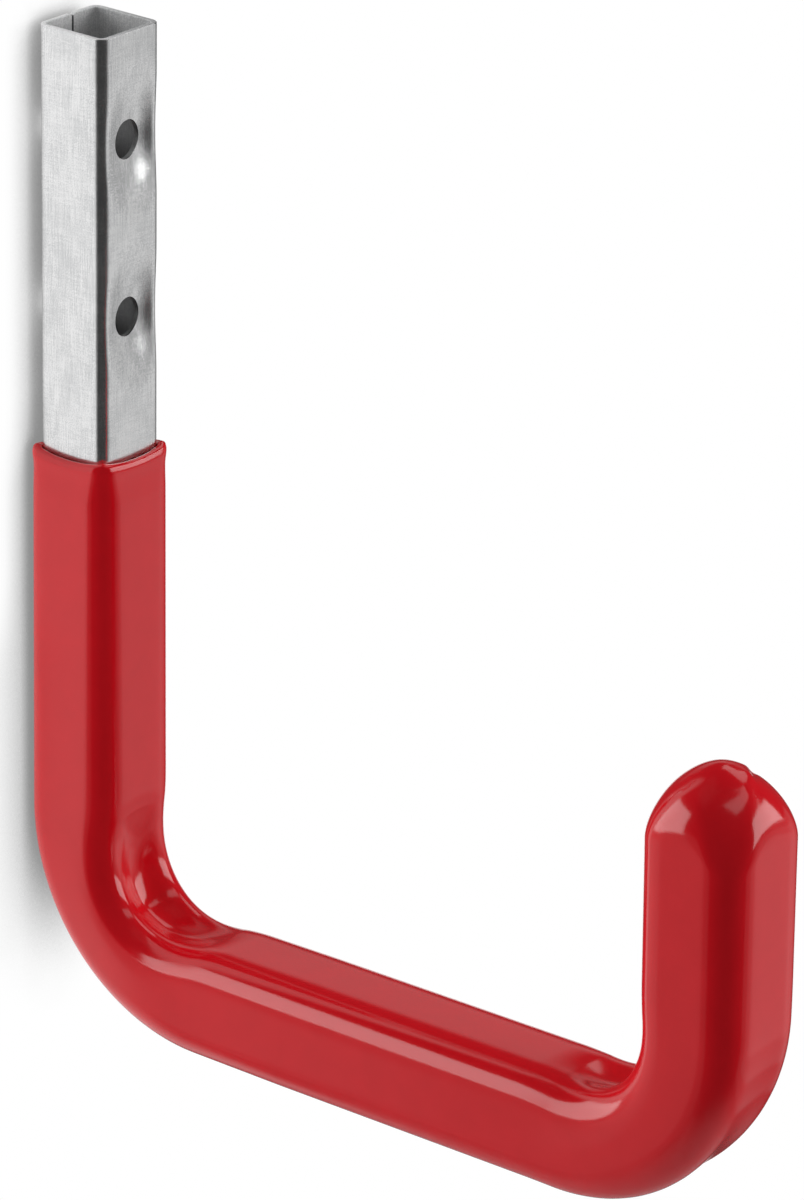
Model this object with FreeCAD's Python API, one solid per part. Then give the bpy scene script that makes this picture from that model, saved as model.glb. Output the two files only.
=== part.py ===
import FreeCAD, Part
import math
import os

# Garage utility hook: a square steel tube, bent twice to a J and dipped in soft vinyl.
# Millimetres, +Z up. The wall is the plane Y = 0 and the hook reaches out along -Y.
# The origin lies on the face against the wall, midway between the two screw holes.

# Bare steel tube
TUBE = 15.0                # outside width of the square tube
WALL = 1.0                 # sheet thickness
TUBE_CORNER = 1.5          # outside corner radius
HEIGHT = 179.0             # top of the leg to the underside of the arm
REACH = 152.5              # wall face to the front of the tip
TIP_RISE = 72.0            # underside of the arm to the end of the tip
LEG_BEND = 29.0            # centreline radius from the leg to the arm
TIP_BEND = 28.0            # centreline radius from the arm to the tip

# The inside wall gave way in the bends: it turns sharper than the rest and is dished
LEG_INSIDE = 10.5          # inside radius of the leg bend
TIP_INSIDE = 14.0          # inside radius of the tip bend
LEG_DISH = 2.2             # depth of the dish in each bend
TIP_DISH = 2.6
DISH_WIDTH = 11.0          # at its mouth
DISH_FLOOR = 4.0           # flat along its middle

# Butt seam, a groove inside the back wall of the leg
SEAM_WIDTH = 0.35
SEAM_DEPTH = 0.6
SEAM_OFFSET = 0.6          # to one side of the middle of the wall

# Screw holes, punched through the front and back walls
HOLE = 7.0                 # diameter
HOLE_SPACING = 32.0
HOLE_FROM_TOP = 19.5       # top of the leg to the upper hole
PUNCH_DISH = 1.3           # how far the punch pushed the hole's edge in
PUNCH_WIDTH = 12.5         # width of the dished wall round each hole

# Dipped coating, thickest at the tip, which hung lowest while it drained
BARE_LENGTH = 76.0         # top of the leg to the coating's rim
RIM_SKIN = 1.4             # thickness at the rim
LEG_SKIN = 1.6             # round the leg bend
ARM_SKIN = 2.35            # round the tip bend
TIP_SKIN = 2.6             # at the tip
COAT_CORNER = 3.4          # outside corner radius
RIM_ROUND = 0.6            # rolled outer edge of the rim
RIM_GAP = 0.35             # how far the rim stands off the middle of each wall
RIM_GAP_WIDTH = 11.0
RIM_GAP_DEPTH = 4.0        # how far that gap runs down
DENT_SHOWS = 0.85          # share of a dish that shows through the coating
DOME_COVER = 8.6           # coating over the end of the tube
DOME_HEIGHT = 11.3         # length over which the tip rounds off
DRIP_RADIUS = 3.6          # last drop, hardened at the top of the dome
DRIP_RISE = 0.4            # how far the drop stands above the dome

CLEAR = 1.0                # how far a cutting tool passes the face that it opens

# Sizes that follow from these
HALF = TUBE / 2
TOP = HOLE_FROM_TOP + HOLE_SPACING / 2
HOLES = (HOLE_FROM_TOP, HOLE_FROM_TOP + HOLE_SPACING)
QUARTER_TURN = math.pi / 2
ACROSS = FreeCAD.Vector(1, 0, 0)

# Lengths along the centreline, counted from the top of the leg
LEG_END = HEIGHT - HALF - LEG_BEND
LEG_BEND_END = LEG_END + QUARTER_TURN * LEG_BEND
ARM_END = LEG_BEND_END + REACH - TUBE - LEG_BEND - TIP_BEND
TIP_BEND_END = ARM_END + QUARTER_TURN * TIP_BEND
TUBE_END = TIP_BEND_END + TIP_RISE - HALF - TIP_BEND
COAT_END = TUBE_END + DOME_COVER
DOME_START = COAT_END - DOME_HEIGHT

# A round corner is made of three flats that touch its arc, each turned from the last by this angle
FLAT_TURN = QUARTER_TURN / 4


def centreline(s):
    """Point, direction of travel and inside normal at length s of the bent tube."""
    point = FreeCAD.Vector(0, -HALF, TOP)
    along = FreeCAD.Vector(0, 0, -1)
    inside = FreeCAD.Vector(0, -1, 0)
    runs = ((0, LEG_END, 0), (LEG_END, LEG_BEND_END, LEG_BEND), (LEG_BEND_END, ARM_END, 0),
            (ARM_END, TIP_BEND_END, TIP_BEND), (TIP_BEND_END, COAT_END, 0))
    for start, end, radius in runs:
        step = min(s, end) - start
        if step <= 0:
            break
        if radius == 0:
            point = point + along * step
            continue
        turn = step / radius
        point = point + inside * (radius * (1 - math.cos(turn))) + along * (radius * math.sin(turn))
        along, inside = (along * math.cos(turn) + inside * math.sin(turn),
                         inside * math.cos(turn) - along * math.sin(turn))
    return point, along, inside


def outline(s, half, corner=0.0):
    """Square wire across the centreline at length s, with rounded or sharp corners."""
    point, along, inside = centreline(s)
    hub = half - corner
    reach = corner / math.cos(FLAT_TURN / 2)
    steps = (0.5, 1.5, 2.5, 3.5) if corner > 0 else (2,)
    points = []
    for side, rise, first in ((1, 1, 0), (-1, 1, 4), (-1, -1, 8), (1, -1, 12)):
        for step in steps:
            angle = (first + step) * FLAT_TURN
            points.append(point + ACROSS * (side * hub + reach * math.cos(angle))
                          + inside * (rise * hub + reach * math.sin(angle)))
    return Part.makePolygon(points + points[:1])


def run(*wires):
    """Straight or tapered solid through the wires."""
    return Part.makeLoft(list(wires), True, True)


def bend(s, radius, half, inside_radius, corner=0.0):
    """Quarter bend that starts at length s, whose inside wall turns sharper than its outside wall."""
    point, along, inside = centreline(s)
    start = point - ACROSS * half

    def place(ahead, inward):
        return start + along * ahead + inside * inward

    def lengthwise(solid):
        """Edges that run along the bend, and not across its first or last face."""
        chosen = []
        for edge in solid.Edges:
            middle = edge.CenterOfMass - point
            ends = abs(middle.dot(along)) < 1e-6 or abs(middle.dot(inside) - radius) < 1e-6
            if edge.BoundBox.XLength < 1e-3 and not ends:
                chosen.append(edge)
        return chosen

    slant = math.sqrt(0.5)
    outer = radius + half
    hub = (radius - half - inside_radius, half + inside_radius)
    corners = (place(0, -half), place(outer, radius), place(radius - half, radius),
               place(radius - half, hub[1]), place(hub[0], half), place(0, half))
    outer_bow = place(outer * slant, radius - outer * slant)
    inner_bow = place(hub[0] + inside_radius * slant, hub[1] - inside_radius * slant)
    edges = [Part.Arc(corners[0], outer_bow, corners[1]), Part.LineSegment(corners[1], corners[2]),
             Part.LineSegment(corners[2], corners[3]), Part.Arc(corners[3], inner_bow, corners[4]),
             Part.LineSegment(corners[4], corners[5]), Part.LineSegment(corners[5], corners[0])]
    block = Part.Face(Part.Wire([edge.toShape() for edge in edges])).extrude(ACROSS * (2 * half))
    if corner == 0:
        return block
    first = corner * (1 - math.tan(FLAT_TURN))
    second = corner * (math.tan(FLAT_TURN) - math.tan(FLAT_TURN / 2))
    block = block.makeChamfer(first, lengthwise(block))
    return block.makeChamfer(second, lengthwise(block))


def scoop(s, radius, half, inside_radius, depth):
    """Tool that dishes the inside wall of a bend: a trough turned about the inside centre."""
    point, along, inside = centreline(s)
    centre = point + along * (radius - half - inside_radius) + inside * (half + inside_radius)
    slope = (DISH_WIDTH - DISH_FLOOR) / 2 / depth
    base = inside_radius / 2
    mouth = DISH_FLOOR / 2 + slope * (depth + inside_radius - base)

    def place(across, below):
        return centre + ACROSS * across - inside * below

    floor = inside_radius + depth
    profile = Part.makePolygon([place(-mouth, base), place(mouth, base), place(DISH_FLOOR / 2, floor),
                                place(-DISH_FLOOR / 2, floor), place(-mouth, base)])
    return Part.Face(profile).revolve(centre, ACROSS, 360)


def punch(hole, inset):
    """Funnel that the punch left in the front wall round a hole, or its back, inset by the sheet."""
    spread = (PUNCH_WIDTH - HOLE) / 2
    slant = math.hypot(spread, PUNCH_DISH)
    rim = PUNCH_WIDTH / 2 + inset * (slant - spread) / PUNCH_DISH
    depth = PUNCH_DISH * rim / spread
    front = FreeCAD.Vector(0, -TUBE + inset, TOP - hole)
    return Part.makeCone(rim, 0, depth, front, FreeCAD.Vector(0, 1, 0))


def joined(solids):
    """The solids as one, without the seams between flush faces."""
    return solids[0].fuse(solids[1:]).removeSplitter()


def tube_outline(s):
    return outline(s, HALF, TUBE_CORNER)


def tube_blank():
    """The bent tube as a solid bar, with the dishes in its bends."""
    bar = joined([run(tube_outline(0), tube_outline(LEG_END)),
                  bend(LEG_END, LEG_BEND, HALF, LEG_INSIDE, TUBE_CORNER),
                  run(tube_outline(LEG_BEND_END), tube_outline(ARM_END)),
                  bend(ARM_END, TIP_BEND, HALF, TIP_INSIDE, TUBE_CORNER),
                  run(tube_outline(TIP_BEND_END), tube_outline(TUBE_END))])
    bar = bar.cut(scoop(LEG_END, LEG_BEND, HALF, LEG_INSIDE, LEG_DISH))
    return bar.cut(scoop(ARM_END, TIP_BEND, HALF, TIP_INSIDE, TIP_DISH))


def bore():
    """The hollow of the tube, whose inside wall follows the dents at the sheet's thickness."""
    half = HALF - WALL
    hollow = joined([run(outline(0, half), outline(LEG_END, half)),
                     bend(LEG_END, LEG_BEND, half, LEG_INSIDE + WALL),
                     run(outline(LEG_BEND_END, half), outline(ARM_END, half)),
                     bend(ARM_END, TIP_BEND, half, TIP_INSIDE + WALL),
                     run(outline(TIP_BEND_END, half), outline(TUBE_END, half))])
    hollow = hollow.cut(scoop(LEG_END, LEG_BEND, half, LEG_INSIDE + WALL, LEG_DISH))
    hollow = hollow.cut(scoop(ARM_END, TIP_BEND, half, TIP_INSIDE + WALL, TIP_DISH))
    for hole in HOLES:
        hollow = hollow.cut(punch(hole, WALL))
    return hollow


def steel_tube(bar):
    """The bent tube with its dished walls, punched holes and seam."""
    tube = bar
    for hole in HOLES:
        tube = tube.cut(punch(hole, 0))
    tube = tube.cut(bore())
    for hole in HOLES:
        start = FreeCAD.Vector(0, CLEAR, TOP - hole)
        tube = tube.cut(Part.makeCylinder(HOLE / 2, TUBE + 2 * CLEAR, start, FreeCAD.Vector(0, -1, 0)))
    seam_length = LEG_END + CLEAR
    corner = FreeCAD.Vector(SEAM_OFFSET - SEAM_WIDTH / 2, -WALL - CLEAR, TOP + CLEAR - seam_length)
    return tube.cut(Part.makeBox(SEAM_WIDTH, SEAM_DEPTH + CLEAR, seam_length, corner))


def coat_outline(s, skin):
    return outline(s, HALF + skin, COAT_CORNER)


def rim_gap(turn):
    """Crescent between the rim and the middle of one wall, turned about the leg."""
    level = TOP - BARE_LENGTH - RIM_GAP_DEPTH
    left = FreeCAD.Vector(-RIM_GAP_WIDTH / 2, -TUBE, level)
    right = FreeCAD.Vector(RIM_GAP_WIDTH / 2, -TUBE, level)
    outermost = FreeCAD.Vector(0, -TUBE - RIM_GAP, level)
    edges = [Part.Arc(left, outermost, right), Part.LineSegment(right, left)]
    profile = Part.Wire([edge.toShape() for edge in edges])
    crescent = Part.Face(profile).extrude(FreeCAD.Vector(0, 0, RIM_GAP_DEPTH + CLEAR))
    crescent.rotate(FreeCAD.Vector(0, -HALF, 0), FreeCAD.Vector(0, 0, 1), turn)
    return crescent


def dome():
    """Tip of the coating: the square section rounds off and closes to a small flat."""
    half = HALF + TIP_SKIN
    wires = []
    for share in (0, 0.2, 0.4, 0.6, 0.75, 0.87, 0.95):
        shrink = (1 - share ** 2) ** 0.6
        roundness = 0.9 * min(1.0, 1.5 * share)
        rounded = COAT_CORNER + (half - COAT_CORNER) * roundness
        wires.append(outline(DOME_START + DOME_HEIGHT * share, half * shrink, rounded * shrink))
    return run(*wires)


def dip_coating(bar):
    """The coating, with a rolled rim, dished bends and a domed tip, less the bar that it grips."""
    rim = []
    for turn in (0, QUARTER_TURN / 3, 2 * QUARTER_TURN / 3, QUARTER_TURN):
        rim.append(coat_outline(BARE_LENGTH + RIM_ROUND * (1 - math.cos(turn)),
                                RIM_SKIN - RIM_ROUND * (1 - math.sin(turn))))
    tip, up, inside = centreline(COAT_END)
    skin = joined([run(*rim),
                   run(rim[-1], coat_outline(LEG_END, LEG_SKIN)),
                   bend(LEG_END, LEG_BEND, HALF + LEG_SKIN, LEG_INSIDE - LEG_SKIN, COAT_CORNER),
                   run(coat_outline(LEG_BEND_END, LEG_SKIN), coat_outline(ARM_END, ARM_SKIN)),
                   bend(ARM_END, TIP_BEND, HALF + ARM_SKIN, TIP_INSIDE - ARM_SKIN, COAT_CORNER),
                   run(coat_outline(TIP_BEND_END, ARM_SKIN), coat_outline(DOME_START, TIP_SKIN)),
                   dome(),
                   Part.makeSphere(DRIP_RADIUS, tip + up * (DRIP_RISE - DRIP_RADIUS))])
    skin = skin.cut(scoop(LEG_END, LEG_BEND, HALF + LEG_SKIN, LEG_INSIDE - LEG_SKIN,
                          LEG_DISH * DENT_SHOWS))
    skin = skin.cut(scoop(ARM_END, TIP_BEND, HALF + ARM_SKIN, TIP_INSIDE - ARM_SKIN,
                          TIP_DISH * DENT_SHOWS))
    skin = skin.cut(bar)
    for turn in (0, 90, 180, 270):
        skin = skin.cut(rim_gap(turn))
    return skin


os.makedirs("parts", exist_ok=True)
BAR = tube_blank()
for name, shape in (("steel_tube", steel_tube(BAR)), ("dip_coating", dip_coating(BAR))):
    print(name, "solids", len(shape.Solids), "faces", len(shape.Faces), "valid", shape.isValid(),
          "volume", round(shape.Volume, 1))
    shape.exportStep("parts/" + name + ".step")
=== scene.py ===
# %% [markdown]
# A garage utility hook: a square steel tube, punched for screws and bent twice to a J, with its
# lower part dipped in red vinyl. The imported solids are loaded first, as a fixed frame. This
# script then gives each of the two pieces a finer skin and a finish, and lights them in a studio.

# %% Load the frame
import math
import bmesh
import bpy
import numpy as np
from mathutils import Matrix, Vector


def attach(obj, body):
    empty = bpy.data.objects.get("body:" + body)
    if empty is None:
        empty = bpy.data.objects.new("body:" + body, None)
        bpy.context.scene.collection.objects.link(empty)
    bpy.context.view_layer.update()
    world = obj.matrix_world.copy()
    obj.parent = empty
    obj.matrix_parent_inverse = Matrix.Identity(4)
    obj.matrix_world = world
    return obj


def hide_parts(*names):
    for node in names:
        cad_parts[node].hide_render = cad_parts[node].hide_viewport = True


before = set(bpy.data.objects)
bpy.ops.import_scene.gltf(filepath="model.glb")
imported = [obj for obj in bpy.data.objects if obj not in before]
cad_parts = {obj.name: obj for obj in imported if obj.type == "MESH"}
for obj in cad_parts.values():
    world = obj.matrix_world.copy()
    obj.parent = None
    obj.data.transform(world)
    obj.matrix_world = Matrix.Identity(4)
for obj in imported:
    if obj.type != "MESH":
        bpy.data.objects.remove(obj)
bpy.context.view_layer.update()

MM = 0.001

# %% [markdown]
# Both skins follow the same bent line: leg, bend, arm, bend, tip. A curve with a bevel could
# follow it too, but it could not be dented. So the line is a function of one length s, in
# millimetres from the top of the leg. At every s the section has two directions: across the
# tube, and in, towards the inside of the bends.

# %% The bent line
TUBE = 15.0
HALF = TUBE / 2
WALL = 1.0
TUBE_CORNER = 1.8
TOP = 35.5
HEIGHT, REACH, TIP_RISE = 179.0, 152.5, 72.0
LEG_BEND, TIP_BEND = 29.0, 28.0
QUARTER_TURN = math.pi / 2
LEG_END = HEIGHT - HALF - LEG_BEND
LEG_BEND_END = LEG_END + QUARTER_TURN * LEG_BEND
ARM_END = LEG_BEND_END + REACH - TUBE - LEG_BEND - TIP_BEND
TIP_BEND_END = ARM_END + QUARTER_TURN * TIP_BEND
TUBE_END = TIP_BEND_END + TIP_RISE - HALF - TIP_BEND


def bent_line(s):
    """Points (Y, Z) and inside directions of the bent line at the lengths s."""
    first = np.clip((s - LEG_END) / LEG_BEND, 0, QUARTER_TURN)
    second = np.clip((s - ARM_END) / TIP_BEND, 0, QUARTER_TURN)
    leg = np.minimum(s, LEG_END)
    arm = np.clip(s, LEG_BEND_END, ARM_END) - LEG_BEND_END
    tip = np.maximum(s, TIP_BEND_END) - TIP_BEND_END
    y = -HALF - LEG_BEND * (1 - np.cos(first)) - arm - TIP_BEND * np.sin(second)
    z = TOP - leg - LEG_BEND * np.sin(first) + TIP_BEND * (1 - np.cos(second)) + tip
    turn = first + second
    return y, z, -np.cos(turn), np.sin(turn)


print("line is", round(TUBE_END, 1), "mm long, bends from", round(LEG_END, 1), "and", round(ARM_END, 1))

# %% [markdown]
# A thin-walled tube gives way when it is bent with nothing inside it. The inside wall is drawn
# towards the middle, dished and creased, the sides bulge, and the outside wall goes a little
# hollow. Sculpting could make such dents by eye. Here they are moves of the section, strongest in
# the middle of each bend, because the steel and the vinyl over it then get the same dents.

# %% The dents of the bends
BENDS = ((LEG_END, LEG_BEND_END), (ARM_END, TIP_BEND_END))
DRAW = (3.3, 1.8)            # how far the inside wall sinks, at the leg's bend and the tip's
SHOULDER = (1.5, 1.1)        # how much more its two edges sink
DISH, DISH_SHARE = (3.0, 3.1), 0.74
HOLLOW = (0.6, 0.45)
TWIST = (0.0, 0.9)           # the outside wall's lean to one side
BULGE = 0.5
FADE = (4.8, 6.4)            # how far the dents run on past the bend
CREASE, CREASE_REACH = (0.3, 0.45), (2.8, 3.0)
FOLD, FOLD_LENGTH = 0.05, 2.1
FOLDS_AT, FOLDS_REACH = -3.2, 3.0


def dent_strength(s, bend):
    start, end = BENDS[bend]
    reach = (end - start) / 2 + FADE[bend]
    return np.cos(np.clip(np.abs(s - (start + end) / 2) / reach, 0, 1) * QUARTER_TURN) ** 2


def dented(s, half, across, inward):
    """Section points after bending, where half is half the width of the section."""
    across_share = np.clip(across / half, -1, 1)
    inward_share = np.clip(inward / half, -1, 1)
    middle = np.cos(np.clip(across_share / DISH_SHARE, -1, 1) * QUARTER_TURN) ** 2
    beside = np.clip(1 - ((across - FOLDS_AT) / FOLDS_REACH) ** 2, 0, 1)
    flank = np.cos(inward_share * QUARTER_TURN) ** 2
    inside = np.clip(inward_share, 0, 1)
    outside = np.clip(-inward_share, 0, 1)
    moved_across, moved_in = across.copy(), inward.copy()
    for bend in (0, 1):
        strength = dent_strength(s, bend)
        past = s - sum(BENDS[bend]) / 2
        crease = CREASE[bend] * np.exp(-(past / CREASE_REACH[bend]) ** 2) * middle ** 2
        folds = FOLD * np.sin(across / FOLD_LENGTH * 2 * math.pi) * beside * strength
        sunk = DRAW[bend] + SHOULDER[bend] * across_share ** 4 + DISH[bend] * middle + crease
        moved_in -= strength * inside * sunk - inside ** 3 * folds
        moved_in += strength * outside * (HOLLOW[bend] * middle + TWIST[bend] * across_share)
        moved_across += strength * BULGE * flank * across_share
    return moved_across, moved_in


print("inside walls sink", [round(draw + dish, 1) for draw, dish in zip(DRAW, DISH)], "mm in the bends")

# %% [markdown]
# Modelling by hand starts with picking things out. These two helpers do that in code: one makes
# an object the only one selected, and the other selects vertices or edges that pass a test.

# %% Selection helpers
def only(piece):
    bpy.ops.object.select_all(action="DESELECT")
    piece.select_set(True)
    bpy.context.view_layer.objects.active = piece


def choose(piece, test_vertex=None, test_edge=None):
    """Select, in edit mode, the vertices or edges that pass the test."""
    bpy.ops.mesh.select_mode(type="VERT" if test_vertex else "EDGE")
    bpy.ops.mesh.select_all(action="DESELECT")
    mesh = bmesh.from_edit_mesh(piece.data)
    for item in (mesh.verts if test_vertex else mesh.edges):
        item.select_set((test_vertex or test_edge)(item))
    mesh.select_flush_mode()
    bmesh.update_edit_mesh(piece.data)


print("helpers", only.__name__, choose.__name__)

# %% [markdown]
# Each skin starts as a circle primitive, extruded to a straight sleeve. Subdividing the upright
# edges cuts the sleeve into rings, at most a hundred cuts at a time, which is the tool's limit.

# %% Sleeve blanks
CUTS_AT_ONCE = 100


def sleeve(name, points_round, rings):
    """Straight sleeve of unit radius: one ring for each whole number of height."""
    bpy.ops.object.select_all(action="DESELECT")
    bpy.ops.mesh.primitive_circle_add(vertices=points_round, radius=1, fill_type="NOTHING")
    piece = bpy.context.object
    piece.name = name
    piece.data.name = name
    bpy.ops.object.mode_set(mode="EDIT")
    bottom = 0
    while bottom < rings - 1:
        top = min(bottom + CUTS_AT_ONCE, rings - 1)
        choose(piece, test_vertex=lambda vertex: vertex.co.z > bottom - 0.5)
        bpy.ops.mesh.extrude_region_move(TRANSFORM_OT_translate={"value": (0, 0, top - bottom)})
        if top - bottom > 1:
            choose(piece, test_edge=lambda edge: min(edge.verts[0].co.z, edge.verts[1].co.z) > bottom - 0.5
                   and abs(edge.verts[0].co.z - edge.verts[1].co.z) > 0.5)
            bpy.ops.mesh.subdivide(number_cuts=top - bottom - 1)
        bottom = top
    bpy.ops.object.mode_set(mode="OBJECT")
    print(name, "blank has", len(piece.data.vertices), "vertices in", rings, "rings")
    return piece


# %% [markdown]
# The height and the direction of a vertex of the sleeve are its ring and its place round that
# ring. With those two numbers every vertex is sent to its own place on the bent line, as a lattice
# would bend it, but exactly. The plain section is a square with round corners.

# %% From the sleeve to the bent line
def ring_and_place(piece, points_round):
    """Ring number and place round the ring of every vertex of a straight sleeve."""
    count = len(piece.data.vertices)
    at = np.empty(count * 3)
    piece.data.vertices.foreach_get("co", at)
    at = at.reshape(count, 3)
    turns = np.arctan2(at[:, 1], at[:, 0]) / (2 * math.pi)
    return np.rint(at[:, 2]).astype(int), np.rint(turns * points_round).astype(int) % points_round


def put(piece, across, inward, s):
    """Move every vertex to its place on the bent line, in metres."""
    y, z, in_y, in_z = bent_line(s)
    at = np.stack([across, y + in_y * inward, z + in_z * inward], axis=-1) * MM
    piece.data.vertices.foreach_set("co", at.ravel())
    piece.data.update()
    print(piece.name, "reaches from", np.round(at.min(axis=0), 4), "to", np.round(at.max(axis=0), 4))


def square_ring(half, corner, lines, corner_steps):
    """Rounded squares, one per ring: lines are shares of the flat from its middle to its end."""
    half, corner = half[:, None], corner[:, None]
    flat = np.concatenate([-lines[:0:-1], lines])
    bow = np.linspace(0, QUARTER_TURN, corner_steps + 1)[1:-1]
    across, inward = [], []
    for quarter in range(4):
        c, d = round(math.cos(quarter * QUARTER_TURN)), round(math.sin(quarter * QUARTER_TURN))
        out = np.concatenate([half + 0 * flat, half - corner + corner * np.cos(bow)], axis=1)
        along = np.concatenate([(half - corner) * flat, half - corner + corner * np.sin(bow)], axis=1)
        across.append(c * out - d * along)
        inward.append(d * out + c * along)
    return np.concatenate(across, axis=1), np.concatenate(inward, axis=1)


# %% [markdown]
# The steel tube is one chain of rings: up the inside of the wall, over the cut edge at the top,
# and down the outside. A Solidify modifier would give the wall too, but not the dents of the
# punch and the seam. Rings are close together round the screw holes, where the wall is dished.

# %% Rings of the steel tube
HOLE = 7.0
HOLES = (19.5, 51.5)
EDGE = 0.12
FLAT = HALF - TUBE_CORNER
FLAT_LINES = np.array([0, 0.45, 0.62, 0.8, 1.4, 2.1, 2.8, 3.5, 4.1, 5.0, FLAT]) / FLAT
CORNER_STEPS = 8
TUBE_ROUND = 4 * (2 * (len(FLAT_LINES) - 1) + CORNER_STEPS)
INNER_CORNER_SHARE = 0.999   # keeps the inner corner from closing to a point

near_holes = np.concatenate([hole + np.arange(-11.2, 11.3, 0.7) for hole in HOLES])
plain = np.concatenate([np.arange(0.6, 8.1, 1.2), np.arange(31.5, 39.8, 1.2), np.arange(63.5, 78, 1.5),
                        np.arange(80, LEG_END, 4.0), np.linspace(LEG_END, LEG_BEND_END, 31),
                        np.arange(LEG_BEND_END + 4, ARM_END - 2, 5.0),
                        np.linspace(ARM_END, TIP_BEND_END, 31),
                        np.arange(TIP_BEND_END + 4, TUBE_END - 1, 5.0), [EDGE, TUBE_END]])
down = np.unique(np.round(np.concatenate([near_holes, plain]), 4))
tube_s = np.concatenate([down[::-1], [0, 0], down])
tube_inset = np.concatenate([WALL + 0 * down, [WALL - EDGE, EDGE], 0 * down])
tube = sleeve("galvanised_tube", TUBE_ROUND, len(tube_s))
ring, place = ring_and_place(tube, TUBE_ROUND)
across, inward = square_ring(HALF - tube_inset, TUBE_CORNER - tube_inset * INNER_CORNER_SHARE,
                             FLAT_LINES, CORNER_STEPS)
s = np.broadcast_to(tube_s[:, None], across.shape).copy()
inset = np.broadcast_to(tube_inset[:, None], across.shape)
half = HALF - inset

# %% [markdown]
# The holes were punched, which pushed the front wall in around them, most of all on the side
# where the tool leaned. A Boolean would cut the holes but leave long thin faces round them. So
# squares of the grid are made round instead, and what lies inside them is marked to be cut out.

# %% Punched holes
PUNCH_DEPTH, PUNCH_ASIDE, PUNCH_REACH = 1.3, 1.2, (9.0, 15.0)
POCKET_DEPTH, POCKET_ASIDE, POCKET_REACH = 0.48, 3.3, (4.0, 9.5)
PATCH = 6.0                  # half the side of the grid square that is made round
PATCH_POWER = 0.8
BARE_END = LEG_END - 30
AT_WALL = 0.35
CORNER_GIVE = 2.2
JUST = 0.01


def pushed(across, along, depth, aside, reach):
    spread = np.hypot((across - aside) / reach[0], along / reach[1])
    return depth * np.clip(1 - spread ** 2, 0, 1) ** 2


bare = s < BARE_END
front = bare & (inward > half - AT_WALL)
back = bare & (inward < -half + AT_WALL)
cut_out = np.zeros(across.shape, bool)
hole_of = np.full(across.shape, -1)
grid_across, grid_s = across.copy(), s.copy()
for number, hole in enumerate(HOLES):
    along = grid_s - hole
    square = np.maximum(np.abs(grid_across), np.abs(along))
    rounder = np.clip((PATCH - square) / (PATCH - HOLE / 2), 0, 1) ** PATCH_POWER
    factor = 1 + rounder * (square / np.maximum(np.hypot(grid_across, along), 1e-6) - 1)
    wall = (front | back) & (square < PATCH)
    across = np.where(wall, grid_across * factor, across)
    s = np.where(wall, hole + along * factor, s)
    cut_out |= wall & (square < HOLE / 2 - JUST)
    hole_of = np.where(wall & (np.abs(square - HOLE / 2) < JUST), number * 2 + back, hole_of)
    push = (pushed(across, s - hole, PUNCH_DEPTH, PUNCH_ASIDE, PUNCH_REACH)
            + pushed(across, s - hole, POCKET_DEPTH, POCKET_ASIDE, POCKET_REACH))
    inward = inward - push * np.clip((inward - half + CORNER_GIVE) / CORNER_GIVE, 0, 1) * bare
print("holes take", int(cut_out.sum()), "vertices out of the grid")

# %% [markdown]
# The tube was rolled from a strip, so a butt seam runs down the inside of its back wall. It is a
# groove one grid line wide, with a small notch where it meets the cut edge. Then the bends dent
# the section, and every vertex goes to its place.

# %% Seam and bends of the tube
SEAM_AT, SEAM_DEPTH = 0.62, 0.55
NOTCH_HALF, NOTCH_HIGH, NOTCH_DEPTH = 0.25, 0.4, 0.35

seam = back & (np.abs(across - SEAM_AT) < 2 * JUST) & (inset > WALL - JUST)
inward = inward - SEAM_DEPTH * seam
notch = (inward < -HALF + WALL + NOTCH_HIGH) & (np.abs(across - SEAM_AT) < NOTCH_HALF) & (s < EDGE + JUST)
s = s + NOTCH_DEPTH * notch
across, inward = dented(s, HALF + 0 * s, across, inward)
put(tube, across[ring, place], inward[ring, place], s[ring, place])

# %% [markdown]
# The marked vertices are now deleted, and the edges that face each other through the wall are
# joined. Bridge Edge Loops joins the two walls at the tube's lower end. Round the holes it can
# pick the wrong loops, so there each edge finds its partner by a number that both carry. The
# inside of the tube also gets an attribute, because its finish is duller.

# %% Close the tube's end and open its holes
def tag(piece, name, values):
    """Keep a whole number with every vertex, which edit mode can read."""
    layer = piece.data.attributes.new(name, "INT", "POINT")
    layer.data.foreach_set("value", values.astype(np.int32))


SHARP_ABOVE = math.radians(32)
station = np.concatenate([np.arange(len(down))[::-1], [0, 0], np.arange(len(down))])
partner = 1 + (hole_of * len(down) + station[:, None]) * TUBE_ROUND + np.arange(TUBE_ROUND)
tag(tube, "pair", np.where(hole_of >= 0, partner, 0)[ring, place])
tag(tube, "gone", cut_out[ring, place])
inner_wall = tube.data.attributes.new("inner_wall", "FLOAT", "POINT")
inner_wall.data.foreach_set("value", (inset / WALL)[ring, place])
only(tube)
bpy.ops.object.mode_set(mode="EDIT")
choose(tube, test_edge=lambda edge: edge.is_boundary)
bpy.ops.mesh.bridge_edge_loops()
gone = bmesh.from_edit_mesh(tube.data).verts.layers.int["gone"]
choose(tube, test_vertex=lambda vertex: vertex[gone] == 1)
bpy.ops.mesh.delete(type="VERT")
mesh = bmesh.from_edit_mesh(tube.data)
pair = mesh.verts.layers.int["pair"]
facing = {}
for edge in [edge for edge in mesh.edges if edge.is_boundary]:
    facing.setdefault(frozenset(vertex[pair] for vertex in edge.verts), []).append(edge)
for one, two in facing.values():
    near = sorted(one.verts, key=lambda vertex: vertex[pair])
    far = sorted(two.verts, key=lambda vertex: vertex[pair])
    mesh.faces.new((near[0], near[1], far[1], far[0]))
bmesh.update_edit_mesh(tube.data)
bpy.ops.mesh.select_all(action="SELECT")
bpy.ops.mesh.normals_make_consistent(inside=False)
bpy.ops.object.mode_set(mode="OBJECT")
for name in ("pair", "gone"):
    tube.data.attributes.remove(tube.data.attributes[name])
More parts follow.
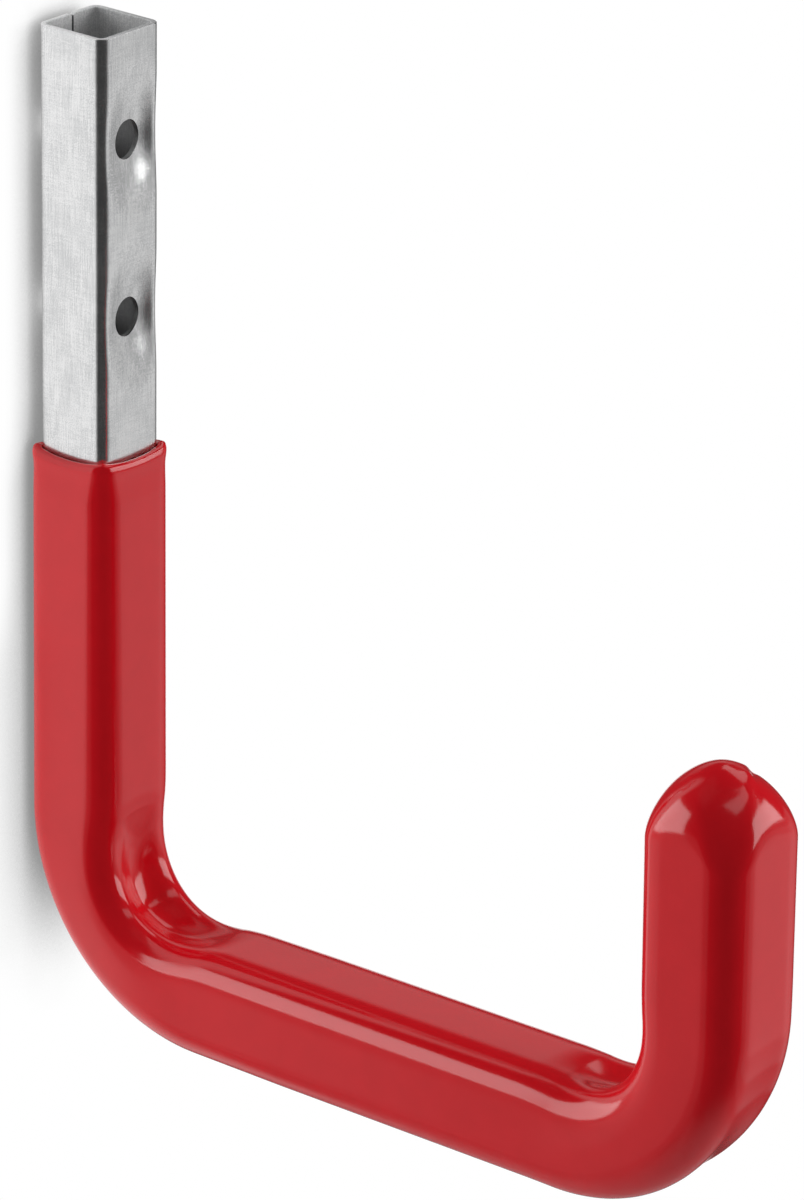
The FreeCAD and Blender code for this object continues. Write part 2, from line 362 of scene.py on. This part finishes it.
bpy.ops.object.shade_smooth_by_angle(angle=SHARP_ABOVE)
print("steel tube has", len(tube.data.polygons), "faces, and", len(facing), "round its holes")

# %% [markdown]
# The vinyl is one closed skin. Its chain of rings starts under the tube's end, follows the steel
# up to the rim, rolls over it and comes down outside. The skin and its corners grow towards the
# tip, which hung lowest while the vinyl drained. The last rings close to a dome. An offset of
# the steel by Solidify would be even all over, and so look like paint.

# %% Rings of the vinyl skin
RIM = 76.0
SKIN_AT = ((RIM, 1.4), (RIM + 8, 1.95), (LEG_END, 2.18), (LEG_BEND_END + 20, 2.87), (TUBE_END, 3.36))
BED = 0.03                   # the thin room between steel and vinyl
BEAD, BEAD_AT, BEAD_WIDTH = 0.16, RIM + 1.5, 1.5
DOME_COVER, DOME_HEIGHT = 8.6, 11.3
DOME_START = TUBE_END + DOME_COVER - DOME_HEIGHT


def skin_at(s):
    bead = BEAD * np.exp(-((s - BEAD_AT) / BEAD_WIDTH) ** 2)
    return np.interp(s, *zip(*SKIN_AT)) + bead


inner = np.concatenate([[TUBE_END + BED], np.arange(TUBE_END, TIP_BEND_END + 2, -6.0),
                        np.linspace(TIP_BEND_END, ARM_END, 25), np.arange(ARM_END - 6, LEG_BEND_END + 2, -6.0),
                        np.linspace(LEG_BEND_END, LEG_END, 25), np.arange(LEG_END - 5, RIM + 8, -5.0),
                        RIM + np.array([6.0, 5.0, 4.0, 3.0, 2.2, 1.5])])
roll = np.linspace(-QUARTER_TURN, QUARTER_TURN, 13)
lip = skin_at(np.array([RIM]))[0] / 2
outer = np.concatenate([RIM + np.arange(1.0, 9.9, 0.5), np.arange(RIM + 10, LEG_END - 8, 1.5),
                        np.linspace(LEG_END - 8, LEG_BEND_END + 8, 110),
                        np.arange(LEG_BEND_END + 9.5, ARM_END - 9, 1.5),
                        np.linspace(ARM_END - 9, TIP_BEND_END + 9, 110),
                        np.arange(TIP_BEND_END + 10, DOME_START - 0.5, 1.0)])
dome = 1 - (1 - np.linspace(0, 1, 46)[:-1]) ** 2
coat_s = np.concatenate([inner, RIM + lip * (1 - np.cos(roll)), outer, DOME_START + DOME_HEIGHT * dome])
coat_skin = np.concatenate([BED + 0 * inner, BED + lip * (1 + np.sin(roll)), skin_at(outer),
                            skin_at(DOME_START + 0 * dome)])
coat_half = HALF + coat_skin
print("skin is", round(coat_skin[len(inner):].min(), 2), "to", round(coat_skin.max(), 2), "mm thick")

# %% [markdown]
# A liquid skin rounds the corners of a square. Each ring is a square with round corners, blended
# with a superellipse, whose sides are never quite flat, so that reflections slide softly round
# it. On the dome the rings shrink and turn from square to round.

# %% Section of the vinyl skin
CORNER_AT = ((RIM, 2.9), (RIM + 8, 4.6), (LEG_END, 5.2), (LEG_BEND_END + 20, 6.0), (TUBE_END, 6.6))
POWER_AT = ((LEG_END, 4.9), (LEG_BEND_END + 20, 4.8), (TUBE_END, 4.2))
POURED = 0.25
POURED_FROM = (RIM + 1, RIM + 9)
DOME_POWER = 0.555
DOME_ROUND, DOME_ROUND_AT, DOME_ROUND_POWER = 0.95, 0.8, 1.5
FIRST_RING = 0.02
COAT_LINES = np.linspace(0, 1, 8)
COAT_CORNER_STEPS = 14
COAT_ROUND = 4 * (2 * (len(COAT_LINES) - 1) + COAT_CORNER_STEPS)

coat = sleeve("vinyl_coating", COAT_ROUND, len(coat_s))
ring, place = ring_and_place(coat, COAT_ROUND)
number = np.arange(len(coat_s))
shrink, rounder = np.ones(len(coat_s)), np.zeros(len(coat_s))
shrink[-len(dome):] = (1 - dome ** 2) ** DOME_POWER
rounder[-len(dome):] = DOME_ROUND * np.clip(dome / DOME_ROUND_AT, 0, 1) ** DOME_ROUND_POWER
shrink[0] = FIRST_RING
corner = np.where(number < len(inner), TUBE_CORNER + BED, np.interp(coat_s, *zip(*CORNER_AT)))
rolled = slice(len(inner), len(inner) + len(roll))
corner[rolled] = TUBE_CORNER + BED + (CORNER_AT[0][1] - TUBE_CORNER) * (1 + np.sin(roll)) / 2
corner = corner + (coat_half - corner) * rounder
across, inward = square_ring(coat_half * shrink, corner * shrink, COAT_LINES, COAT_CORNER_STEPS)
s = np.broadcast_to(coat_s[:, None], across.shape).copy()
half = (coat_half * shrink)[:, None]
turn = np.arctan2(inward, across)
power = (np.interp(coat_s, *zip(*POWER_AT)) * (1 - rounder) + 2 * rounder)[:, None]
even = half * (np.abs(np.cos(turn)) ** power + np.abs(np.sin(turn)) ** power) ** (-1 / power)
poured = np.interp(coat_s, POURED_FROM, (0, POURED)) * (number >= rolled.stop)
fuller = 1 + poured[:, None] * (even / np.maximum(np.hypot(across, inward), 1e-6) - 1)
across, inward = across * fuller, inward * fuller

# %% [markdown]
# The rim is where the vinyl stopped. It hangs a little lower in the middle of each side than at
# the corners, and stands off the steel there by a thin, dark gap. Both are moves of the same
# rings. After them the skin takes on the dents of the bends.

# %% Rim of the vinyl skin
RIM_DIP, RIM_SWELL, RIM_BELOW = 0.9, 0.12, 3.5
RIM_GAP, RIM_GAP_FROM, RIM_GAP_DEPTH = 0.3, 0.4, 4.0
AT_SKIN = 0.4

larger = np.maximum(np.maximum(abs(across), abs(inward)), 1e-6)
mid_flat = 1 - (np.minimum(abs(across), abs(inward)) / larger) ** 2
by_rim = mid_flat * np.exp(-((s - RIM) / RIM_BELOW) ** 2)
s = s + RIM_DIP * by_rim
swell = 1 + RIM_SWELL * by_rim / half
across, inward = across * swell, inward * swell
under = np.broadcast_to((number < len(inner) + len(roll) // 2)[:, None], s.shape)
stand_off = RIM_GAP * np.clip(1 - (s - RIM - RIM_GAP_FROM) / RIM_GAP_DEPTH, 0, 1)
gap_in = stand_off * np.clip(1 - (across / FLAT) ** 2, 0, 1) * under
gap_across = stand_off * np.clip(1 - (inward / FLAT) ** 2, 0, 1) * under
for side in (1, -1):
    inward = inward + side * gap_in * (side * inward > half - AT_SKIN)
    across = across + side * gap_across * (side * across > half - AT_SKIN)
across, inward = dented(s, half / shrink[:, None], across, inward)
print("rim dips", RIM_DIP, "mm and stands", round(float(gap_in.max()), 2), "mm off the steel")

# %% [markdown]
# The tip drained last. A round cap set first, and the right shoulder sank a little beside it, so
# a short crease runs over the top between the two, with a small second drop in it. Below the
# dome, the corners of the tip arch down further than its sides. All of it is a shift of the rings
# along the tip, as with Proportional Editing, but with its places written down.

# %% Drips on the dome
RIGHT = (0.64, -0.77)        # shares of across and inward in the way to the picture's right
NEAR = (-0.77, -0.64)        # and in the way to the camera
ARCH, FRONT_ARCH, ARCH_BELOW = 1.6, 2.4, 9.0
CAP, CAP_AT, CAP_REACH = 0.35, -0.6, (4.2, 4.6)
SUNK, SUNK_FROM, SUNK_WIDTH = 0.7, 3.6, 2.4
FURROW, FURROW_AT, FURROW_WIDTH, FURROW_UNTIL, FURROW_FADE = 0.5, 5.0, 0.7, 2.5, 3
DROP, DROP_AT, DROP_REACH = 0.45, (4.4, 1.6), (1.1, 1.5)


def eased(share):
    share = np.clip(share, 0, 1)
    return share * share * (3 - 2 * share)


to_right = across * RIGHT[0] + inward * RIGHT[1]
to_camera = across * NEAR[0] + inward * NEAR[1]
on_dome = np.clip((s - DOME_START) / DOME_HEIGHT, 0, 1)
cap = np.exp(-((to_right - CAP_AT) / CAP_REACH[0]) ** 2 - (to_camera / CAP_REACH[1]) ** 2)
sunk = eased((to_right - SUNK_FROM) / SUNK_WIDTH)
furrow = (np.exp(-((to_right - FURROW_AT) / FURROW_WIDTH) ** 2)
          * np.clip((FURROW_UNTIL - to_camera) / FURROW_FADE, 0, 1))
drop = np.exp(-((to_right - DROP_AT[0]) / DROP_REACH[0]) ** 2
              - ((to_camera - DROP_AT[1]) / DROP_REACH[1]) ** 2)
low = np.clip((s - DOME_START + ARCH_BELOW) / ARCH_BELOW, 0, 1) * (1 - on_dome)
front = np.clip(to_camera / np.maximum(np.hypot(across, inward), 1e-6), 0, 1) ** 2
at_corner = np.sin(2 * np.arctan2(inward, across)) ** 2
s = s - (ARCH + FRONT_ARCH * front) * at_corner * eased(low) * (s > TIP_BEND_END)
s = s + on_dome ** 2 * (CAP * cap - SUNK * sunk - FURROW * furrow + DROP * drop)
put(coat, across[ring, place], inward[ring, place], s[ring, place])

# %% [markdown]
# The first ring, under the tube's end, and the last one, on the dome's top, are each merged to
# one vertex, so the skin has no opening. Filling them with a face would show as a flat spot.

# %% Close the skin at both ends
only(coat)
bpy.ops.object.mode_set(mode="EDIT")
last_ring = ring == len(coat_s) - 1
choose(coat, test_vertex=lambda vertex: bool(last_ring[vertex.index]))
bpy.ops.mesh.merge(type="CENTER")
choose(coat, test_edge=lambda edge: edge.is_boundary)
bpy.ops.mesh.merge(type="CENTER")
bpy.ops.mesh.select_all(action="SELECT")
bpy.ops.mesh.normals_make_consistent(inside=False)
bpy.ops.object.mode_set(mode="OBJECT")
bpy.ops.object.shade_smooth()
print("vinyl skin has", len(coat.data.polygons), "faces")

# %% [markdown]
# Nothing on the hook moves, so both skins ride on its one body. They take the place of their
# solids in the picture, and the solids stay in the physics model.

# %% Ride and replace
for piece, node, slot in ((tube, "steel_tube", "steel"), (coat, "dip_coating", "vinyl")):
    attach(piece, "root")
    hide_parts(node)
print("pieces", tube.name, coat.name)

# %% [markdown]
# A finish is a small graph of nodes, which could be wired by hand in the Shader Editor. The first
# class lets its maths be written as Python expressions, and the second makes any other node in
# one line, so that a finish can be read from top to bottom.

# %% Shader helpers
class Num:
    """A socket that takes part in Python arithmetic."""

    def __init__(self, finish, socket):
        self.finish, self.socket = finish, socket

    def math(self, operation, other=None, swap=False):
        values = [self] if other is None else [other, self] if swap else [self, other]
        return self.finish.node("ShaderNodeMath", {"operation": operation}, dict(enumerate(values)))

    def __add__(self, other): return self.math("ADD", other)
    def __sub__(self, other): return self.math("SUBTRACT", other)
    def __mul__(self, other): return self.math("MULTIPLY", other)
    def __radd__(self, other): return self.math("ADD", other)
    def __rsub__(self, other): return self.math("SUBTRACT", other, True)
    def __rmul__(self, other): return self.math("MULTIPLY", other)


class Finish:
    """A material whose nodes are added one call at a time."""

    def __init__(self, name):
        self.material = bpy.data.materials.new(name)
        self.material.use_nodes = True
        self.tree = self.material.node_tree
        self.tree.nodes.clear()

    def node(self, kind, settings=None, inputs=None, output=0):
        made = self.tree.nodes.new(kind)
        for key, value in (settings or {}).items():
            setattr(made, key, value)
        for key, value in (inputs or {}).items():
            if isinstance(value, Num):
                self.tree.links.new(value.socket, made.inputs[key])
            else:
                made.inputs[key].default_value = value
        return Num(self, made.outputs[output]) if len(made.outputs) else made

    def place(self, axis=None):
        """Object coordinates, or one of them."""
        at = self.node("ShaderNodeTexCoord", output="Object")
        return self.node("ShaderNodeSeparateXYZ", None, {0: at}, axis) if axis else at

    def noise(self, scale, stretch=(1, 1, 1), detail=2.0, rough=0.5):
        """Cloudy pattern in object space, scaled to cycles per metre along each axis."""
        at = self.node("ShaderNodeMapping", None, {0: self.place(), 3: tuple(scale * x for x in stretch)})
        return self.node("ShaderNodeTexNoise", None, {"Vector": at, "Scale": 1.0, "Detail": detail,
                                                      "Roughness": rough, "Distortion": 0.0})

    def ramp(self, value, start, end):
        """Smooth step from 0 at start to 1 at end."""
        return self.node("ShaderNodeMapRange", {"interpolation_type": "SMOOTHSTEP"},
                         {0: value, 1: start, 2: end, 3: 0.0, 4: 1.0})

    def mix(self, factor, one, two):
        return self.node("ShaderNodeMix", {"data_type": "RGBA"}, {0: factor, 6: one, 7: two}, 2)

    def mix_shader(self, factor, one, two):
        return self.node("ShaderNodeMixShader", None, {0: factor, 1: one, 2: two})

    def bump(self, height, strength, distance):
        return self.node("ShaderNodeBump", None, {"Strength": strength, "Distance": distance, "Height": height})

    def finish(self, shader):
        self.node("ShaderNodeOutputMaterial", None, {0: shader})
        return self.material


print("helpers", Num.__name__, Finish.__name__)

# %% [markdown]
# The steel was zinc-plated as a strip, so it is pale and fairly sharp, with fine streaks along
# the tube, fainter ones across it, and a cloudy grey bloom. Four noises in object space give
# these, because a picture of steel would repeat. The inside is dull, has painted shade that
# darkens it further down the tube, and is black in the open seam.

# %% Galvanised steel
DARK_BELOW = (0.022, 0.0345)
SEAM_EDGE = (0.00012, 0.00034)
BACK_WALL = (-0.006, -0.003)
ZINC_DARK, ZINC_PALE = (0.58, 0.585, 0.59, 1), (0.80, 0.80, 0.80, 1)
# painted shade: the dark grey for the inner wall deep in the tube
PAINTED_DEEP_SHADE, SEAM_BLACK = (0.10, 0.10, 0.105, 1), (0.02, 0.02, 0.02, 1)

steel = Finish("galvanised_steel")
along_streaks = steel.noise(3600, (1, 1, 0.05), detail=3)
cross_streaks = steel.noise(2600, (0.12, 0.12, 1), detail=3)
bloom = steel.noise(220, (1, 1, 0.6), detail=5, rough=0.65)
speckle = steel.noise(5600, detail=1)
grain = along_streaks * 0.24 + cross_streaks * 0.12 + bloom * 0.22 + speckle * 0.42
dull = steel.node("ShaderNodeAttribute", {"attribute_name": "inner_wall"}, output="Fac")
# painted shade: the inner wall is darkened deeper down the tube, where little light reaches
painted_deep_shade = dull * (1 - steel.ramp(steel.place("Z"), *DARK_BELOW))
off_seam = (steel.place("X") - SEAM_AT * MM).math("ABSOLUTE")
open_seam = dull * (1 - steel.ramp(off_seam, *SEAM_EDGE)) * steel.ramp(steel.place("Y"), *BACK_WALL)
colour = steel.mix(steel.ramp(grain, 0.42, 0.58), ZINC_DARK, ZINC_PALE)
colour = steel.mix(0.6 * painted_deep_shade, colour, PAINTED_DEEP_SHADE)
colour = steel.mix(0.85 * open_seam, colour, SEAM_BLACK)
shader = steel.node("ShaderNodeBsdfPrincipled", None, {
    "Base Color": colour, "Metallic": 1.0 - 0.7 * dull, "Roughness": 0.15 + 0.16 * bloom + 0.35 * dull,
    "Normal": steel.bump(grain, 0.2, 0.00006)})
tube.data.materials.append(steel.finish(shader))
print("steel has", len(steel.tree.nodes), "nodes")

# %% [markdown]
# Dipped vinyl is smooth and wet-looking. Its colour hardly changes, so the life of the surface is
# in long, shallow waves, left by the draining, that bend the reflections a little. A bump is
# enough for these, because they are far too low to show on the outline.

# %% Red vinyl
RED_DARK, RED_PALE = (0.73, 0.005, 0.012, 1), (0.77, 0.006, 0.014, 1)

vinyl = Finish("red_vinyl")
waves = vinyl.noise(60, (1, 1, 0.6), detail=1)
cloud = vinyl.noise(160, detail=3)
shader = vinyl.node("ShaderNodeBsdfPrincipled", None, {
    "Base Color": vinyl.mix(vinyl.ramp(cloud, 0.2, 0.8), RED_DARK, RED_PALE), "IOR": 1.52,
    "Roughness": 0.11 + 0.05 * cloud, "Normal": vinyl.bump(waves, 0.12, 0.0004)})
coat.data.materials.append(vinyl.finish(shader))
print("vinyl has", len(vinyl.tree.nodes), "nodes")

# %% [markdown]
# The camera was found from the photo's outline: a long lens that looks down on the hook from its
# left front, with almost no roll. Its three directions are worked out from the angles, because a
# Track To constraint could not hold the roll.

# %% Camera
AZIMUTH, ELEVATION, ROLL = math.radians(-50.319), math.radians(21.511), math.radians(0.712)
DISTANCE, SHIFT_RIGHT, SHIFT_UP, AIM = 1423.1, -3.114, 3.27, Vector((0, -80, -90 + TOP))
SENSOR, FOCAL_PIXELS, PICTURE_HIGH = 36, 8442.5, 1200
back_way = Vector((math.sin(AZIMUTH) * math.cos(ELEVATION), -math.cos(AZIMUTH) * math.cos(ELEVATION),
                   math.sin(ELEVATION)))
right_way = Vector((math.cos(AZIMUTH), math.sin(AZIMUTH), 0))
up_way = back_way.cross(right_way)
turned_right = right_way * math.cos(ROLL) + up_way * math.sin(ROLL)
turned_up = up_way * math.cos(ROLL) - right_way * math.sin(ROLL)
lens = bpy.data.cameras.new("photo_camera")
lens.sensor_fit = "VERTICAL"
lens.sensor_height = SENSOR
lens.lens = FOCAL_PIXELS * SENSOR / PICTURE_HIGH
camera = bpy.data.objects.new("photo_camera", lens)
camera.matrix_world = Matrix((turned_right, turned_up, back_way)).transposed().to_4x4()
camera.location = (AIM + back_way * DISTANCE + right_way * SHIFT_RIGHT + up_way * SHIFT_UP) * MM
bpy.context.collection.objects.link(camera)
bpy.context.scene.camera = camera
print("camera stands", [round(v, 3) for v in camera.location])

# %% [markdown]
# A white sheet hangs behind the hook, square to the camera, and fills the picture. A narrow white
# board stands right behind the leg, and a pale floor lies well below. Sheets fade out towards
# their edges and are clear from behind, so they never hide the hook. A sheet shows as white to
# the camera and in reflections, so that white needs no extra light. On the board, Ambient
# Occlusion gives the soft contact shade along the leg, which reaches further round the bend.

# %% Paper of the sheets
PAPER, WHITE, SHADE = (0.7, 0.7, 0.7, 1), (1, 1, 1, 1), (0.26, 0.26, 0.26, 1)
RAYS_THAT_SEE = ("Is Camera Ray", "Is Glossy Ray", "Is Transmission Ray")
WIDER = 2.4                  # how much further the shade reaches round the bend
BEND_REGION = (0.0, -0.025)
SHADE_FROM, SHADE_TO = 0.2, 0.84


def lit(paper, colour):
    return paper.node("ShaderNodeEmission", None, {"Color": colour, "Strength": 1.0})


def contact_shade(paper, bright, reach):
    near, wide = (paper.node("ShaderNodeAmbientOcclusion", {"samples": 8}, {"Distance": distance}, "AO")
                  for distance in (reach, reach * WIDER))
    clear_of_leg = near + paper.ramp(paper.place("Y"), *BEND_REGION) * (wide - near)
    return paper.mix_shader(paper.ramp(clear_of_leg, SHADE_FROM, SHADE_TO), lit(paper, SHADE), bright)


def paper_finish(name, fade, white, contact):
    """Paper; fade is where its clear edge starts and ends, contact how far its shade reaches."""
    paper = Finish(name)
    shown = paper.node("ShaderNodeBsdfDiffuse", None, {"Color": PAPER})
    if white:
        camera_ray, glossy_ray, through_ray = (paper.node("ShaderNodeLightPath", output=ray)
                                               for ray in RAYS_THAT_SEE)
        seen = (camera_ray + glossy_ray + through_ray).math("MINIMUM", 1.0)
        bright = lit(paper, WHITE)
        shown = paper.mix_shader(seen, shown, contact_shade(paper, bright, contact) if contact else bright)
    behind = paper.node("ShaderNodeNewGeometry", output="Backfacing")
    away = paper.node("ShaderNodeVectorMath", {"operation": "LENGTH"}, {0: paper.place()}, "Value")
    hidden = (behind + paper.ramp(away, *fade)).math("MINIMUM", 1.0)
    return paper.finish(paper.mix_shader(hidden, shown, paper.node("ShaderNodeBsdfTransparent")))


# %% Sheets of the stage
def staged(name, size, place, turn, fade, white=True, contact=0.0):
    bpy.ops.object.select_all(action="DESELECT")
    bpy.ops.mesh.primitive_plane_add(size=size, location=place, rotation=turn)
    sheet = bpy.context.object
    sheet.name = name
    sheet.data.materials.append(paper_finish(name, fade, white, contact))
    print(name, "at", [round(v, 3) for v in sheet.location])
    return sheet


FLOOR_Z, BOARD_Y, SHEET_FAR = -0.45, 0.0026, 0.85
BOARD_WIDE = 0.16            # share of the board's height
staged("far_sheet", 0.6, AIM * MM - back_way * SHEET_FAR, back_way.to_track_quat("Z", "Y").to_euler(),
       (0.207, 0.24))
board = staged("leg_board", 0.5, (-0.012, BOARD_Y, -0.06), (QUARTER_TURN, 0, 0), (0.11, 0.25), contact=0.009)
staged("pale_floor", 2.0, (0, -0.08, FLOOR_Z), (0, 0, 0), (0.2, 0.45), white=False)
board.scale.x = BOARD_WIDE
board.visible_shadow = False

# %% [markdown]
# Soft boxes light the hook from both sides, in a dim room. The dim room is what makes the dark
# bands along the round corners. A lamp is stated as a photographer would: the way to it from the
# hook, how wide and high it looks from there, and how bright its face is. An area lamp's power
# follows from these.

# %% Lamps
ROOM = 0.06
TARGET = Vector((0, -0.075, -0.06))
BOX_FAR = 1.2
PANEL_SHARES, PANEL_GAP = (1.0, 0.68, 0.36), 0.02


def soft_box(name, azimuth, elevation, wide, high, brightness, far=BOX_FAR):
    """Rectangular lamp, its way and its apparent size in degrees."""
    azimuth, elevation, wide, high = (math.radians(angle) for angle in (azimuth, elevation, wide, high))
    way = Vector((math.cos(azimuth) * math.cos(elevation), math.sin(azimuth) * math.cos(elevation),
                  math.sin(elevation)))
    light = bpy.data.lights.new(name, "AREA")
    light.shape = "RECTANGLE"
    light.size, light.size_y = 2 * far * math.tan(wide / 2), 2 * far * math.tan(high / 2)
    light.energy = brightness * math.pi * light.size * light.size_y
    lamp = bpy.data.objects.new(name, light)
    lamp.location = TARGET + way * far
    lamp.rotation_euler = (-way).to_track_quat("-Z", "Y").to_euler()
    lamp.visible_camera = False
    bpy.context.collection.objects.link(lamp)
    print(name, "gives", round(light.energy, 1), "W")
    return lamp


def soft_panel(name, azimuth, elevation, wide, high, brightness):
    """Three boxes close behind each other, so that the light fades towards the edge."""
    for number, share in enumerate(PANEL_SHARES):
        soft_box(f"{name}_{number}", azimuth, elevation, wide * share, high * share,
                 brightness / len(PANEL_SHARES), BOX_FAR + PANEL_GAP * number)


# %% [markdown]
# Panels are dim and fade at their edges: they lie where the flat sides of the hook mirror them,
# and lay a soft veil on the red. Boxes are bright and sharp, and make the highlights on the dome
# and along the arm. Fills only add light from below and above, and aren't seen in reflections.

# %% Light
world = bpy.data.worlds.new("studio")
world.use_nodes = True
world.node_tree.nodes["Background"].inputs[0].default_value = (1, 1, 1, 1)
world.node_tree.nodes["Background"].inputs[1].default_value = ROOM
bpy.context.scene.world = world
soft_panel("front_panel", -36, -22, 72, 48, 0.7)
soft_panel("left_panel", 124, -22, 84, 48, 0.58)
soft_panel("rear_panel", 40, 20, 50, 22, 0.46)
soft_box("left_box", 127, 13, 46, 36, 3.3)
soft_box("right_box", -55, 16, 50, 29, 3.8)
soft_box("over_box", -84, 57, 44, 14, 1.3)
soft_box("rear_box", 2, 52, 36, 20, 1.5)
for fill in (soft_box("low_left_fill", 158, -54, 36, 30, 6.6),
             soft_box("low_right_fill", -62, -54, 34, 26, 3.0),
             soft_box("top_fill", 150, 70, 40, 30, 1.5)):
    fill.visible_glossy = False
bpy.context.scene.view_settings.view_transform = "Standard"
